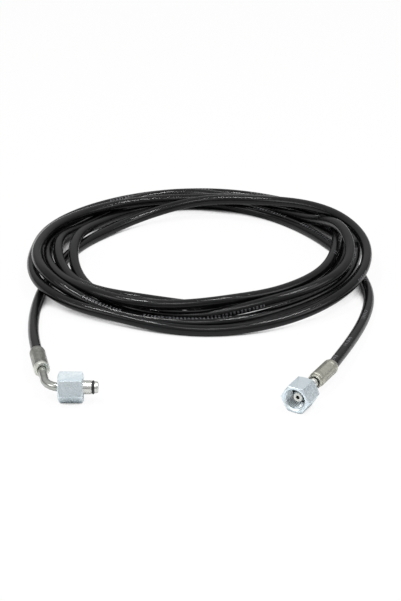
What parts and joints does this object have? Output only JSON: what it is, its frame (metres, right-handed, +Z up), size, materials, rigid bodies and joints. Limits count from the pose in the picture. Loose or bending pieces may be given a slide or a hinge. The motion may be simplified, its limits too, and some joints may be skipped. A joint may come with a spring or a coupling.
{
  "type": "hydraulic hose assembly",
  "caption": "Coiled slim high-pressure hose with crimped ferrules, a bent-tube cone end with a sliding union nut and a straight cone end with a turning union nut.",
  "frame": {"origin": "on the floor under the middle of the two fittings' common box", "axes": "+Z up; +X along the floor from the elbow end towards the straight end; +Y from the fittings towards the coil"},
  "size_m": [0.2664, 0.3743, 0.03],
  "materials": {
    "hose_cover": "satin black cover with fine cross ribs",
    "hose_core": "pale liner with its braid",
    "ferrule_zinc": "dull grey zinc, crimped",
    "tube_steel": "bright plated steel",
    "nut_zinc": "bright bluish zinc",
    "o_ring_rubber": "black"
  },
  "bodies": {
    "hose": {"coil_cover": "hose_cover", "coil_core": "hose_core", "elbow_side_cover": "hose_cover", "elbow_side_core": "hose_core", "straight_side_cover": "hose_cover", "straight_side_core": "hose_core", "elbow_ferrule": "ferrule_zinc", "elbow_insert": "tube_steel", "elbow_tube": "tube_steel", "elbow_nose": "tube_steel", "elbow_o_ring": "o_ring_rubber", "straight_ferrule": "ferrule_zinc", "straight_stem": "tube_steel", "straight_o_ring": "o_ring_rubber"},
    "elbow_union": {"elbow_nut": "nut_zinc"},
    "straight_union": {"straight_nut": "nut_zinc"}
  },
  "joints": [
    {"name": "elbow_nut_slide", "type": "slide", "parent": "hose", "child": "elbow_union", "axis": [1, 0, 0], "range_m": [0, 0.0112]},
    {"name": "straight_nut_spin", "type": "hinge", "parent": "hose", "child": "straight_union", "pos_m": [0.08454, -0.01768, 0.0095], "axis": [-0.4939, -0.8695, 0], "continuous": true}
  ]
}
